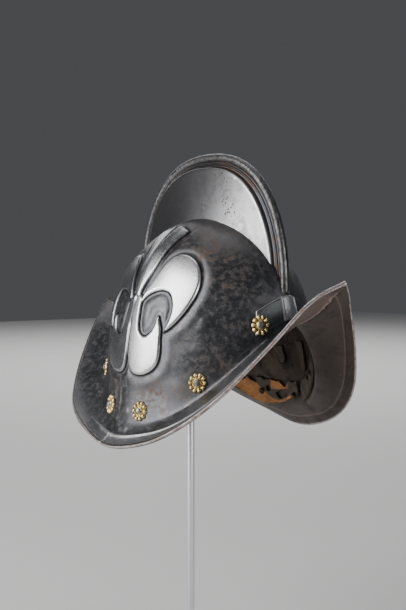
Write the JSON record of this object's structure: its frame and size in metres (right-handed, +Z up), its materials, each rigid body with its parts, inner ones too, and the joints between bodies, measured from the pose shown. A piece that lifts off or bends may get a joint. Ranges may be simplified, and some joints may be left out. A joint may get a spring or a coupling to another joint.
{
  "type": "comb morion helmet on display stand",
  "caption": "Open steel helmet with a tall comb, boat-shaped brim and raised lily ornaments, on a plain rod stand with a round base.",
  "frame": {"origin": "on the floor under the middle of the helmet's length and width", "axes": "+Z up, the helmet's front faces -Y and its right side lies at -X"},
  "size_m": [0.246, 0.376, 0.5173],
  "materials": {
    "steel": "blackened from the hammer, with polished raised parts",
    "brass": "worn brass",
    "rivet_steel": "worn steel",
    "lining_leather": "old tan leather with torn edges",
    "stand_pad": "matt black",
    "rod": "polished",
    "base": "satin black"
  },
  "bodies": {
    "root": {"left_half": "steel", "right_half": "steel", "front_joint_plate": "steel", "rear_joint_plate": "steel", "left_rosette_1": "brass", "left_rivet_1": "rivet_steel", "left_rosette_2": "brass", "left_rivet_2": "rivet_steel", "left_rosette_3": "brass", "left_rivet_3": "rivet_steel", "left_rosette_4": "brass", "left_rivet_4": "rivet_steel", "left_rosette_5": "brass", "left_rivet_5": "rivet_steel", "left_rosette_6": "brass", "left_rivet_6": "rivet_steel", "right_rosette_1": "brass", "right_rivet_1": "rivet_steel", "right_rosette_2": "brass", "right_rivet_2": "rivet_steel", "right_rosette_3": "brass", "right_rivet_3": "rivet_steel", "right_rosette_4": "brass", "right_rivet_4": "rivet_steel", "right_rosette_5": "brass", "right_rivet_5": "rivet_steel", "right_rosette_6": "brass", "right_rivet_6": "rivet_steel", "lining_1": "lining_leather", "lining_2": "lining_leather", "lining_3": "lining_leather", "stand_head": "stand_pad", "stand_rod": "rod", "stand_base": "base"}
  },
  "joints": []
}
